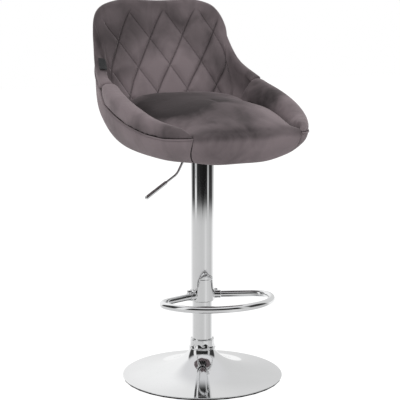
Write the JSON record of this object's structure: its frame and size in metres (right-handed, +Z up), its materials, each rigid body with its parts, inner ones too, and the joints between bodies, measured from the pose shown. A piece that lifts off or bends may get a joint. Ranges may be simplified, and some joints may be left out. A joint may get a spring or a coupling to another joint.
{
  "type": "swivel stool",
  "caption": "Height-adjustable swivel bar stool: velvet bucket seat with a diamond-quilted back, gas-lift lever, chrome column, footrest loop and round trumpet base",
  "frame": {"origin": "on the floor, on the axis of the column, which is the middle of the round base", "axes": "+Z up along the column; the seat opens toward -Y, so its back is on +Y; the height lever is on -X"},
  "size_m": [0.4558, 0.4641, 0.8995],
  "materials": {
    "chrome": "polished chrome plating",
    "steel": "zinc-plated steel",
    "black_steel": "black painted steel",
    "cast_iron": "rough cast iron",
    "nylon": "black moulded nylon",
    "rubber": "black rubber",
    "moulding": "dark moulded plastic",
    "velvet": "mauve-grey velvet with a soft sheen",
    "dark_cloth": "black woven cloth"
  },
  "bodies": {
    "base": {"base_shell": "chrome", "floor_ring": "rubber", "base_weight": "cast_iron", "cross_plate": "steel", "stand_tube": "chrome", "tube_plug": "steel", "flat_washer": "steel", "spring_washer": "steel", "centre_bolt": "steel", "base_collar": "chrome", "rod_seat": "steel", "lower_race": "steel", "guide_bush": "nylon"},
    "rod": {"piston_rod": "steel", "rod_clip": "black_steel", "bearing_cage": "nylon", "upper_race": "steel", "bumper": "rubber", "piston": "nylon"},
    "seat": {"gas_cylinder": "black_steel", "cover_tube": "chrome", "guide_ring": "nylon", "tube_spacer": "nylon", "taper_socket": "steel", "footrest_loop": "chrome", "footrest_saddle": "chrome", "footrest_clamp": "chrome", "clamp_screw_left": "steel", "clamp_screw_right": "steel", "seat_plate": "black_steel", "lever_bracket": "steel", "lever_pin": "steel", "moulded_shell": "moulding", "dust_cover": "dark_cloth", "outer_cover": "velvet", "piping": "velvet", "back_pad": "velvet", "wing_left": "velvet", "wing_right": "velvet", "seat_cushion": "velvet", "label_tab": "dark_cloth", "seat_bolt_front_left": "steel", "seat_washer_front_left": "steel", "tee_nut_front_left": "steel", "seat_bolt_front_right": "steel", "seat_washer_front_right": "steel", "tee_nut_front_right": "steel", "seat_bolt_rear_left": "steel", "seat_washer_rear_left": "steel", "tee_nut_rear_left": "steel", "seat_bolt_rear_right": "steel", "seat_washer_rear_right": "steel", "tee_nut_rear_right": "steel"},
    "lever": {"lever_rod": "chrome", "lever_grip": "chrome"},
    "valve": {"valve_pin": "steel"}
  },
  "joints": [
    {"name": "swivel", "type": "hinge", "parent": "base", "child": "rod", "pos_m": [0, 0, 0.3], "axis": [0, 0, 1], "continuous": true},
    {"name": "height", "type": "slide", "parent": "rod", "child": "seat", "axis": [0, 0, 1], "range_m": [0, 0.21]},
    {"name": "lever_lift", "type": "hinge", "parent": "seat", "child": "lever", "pos_m": [-0.03, 0, 0.5378], "axis": [0, 1, 0], "range_deg": [0, 8], "stiffness_Nm_per_rad": 0.5, "springref_deg": -2.86},
    {"name": "valve_press", "type": "slide", "parent": "seat", "child": "valve", "axis": [0, 0, -1], "range_m": [0, 0.0044]}
  ],
  "couplings": [
    {"joint": "valve_press", "follows": "lever_lift", "m_per_rad": 0.031}
  ]
}
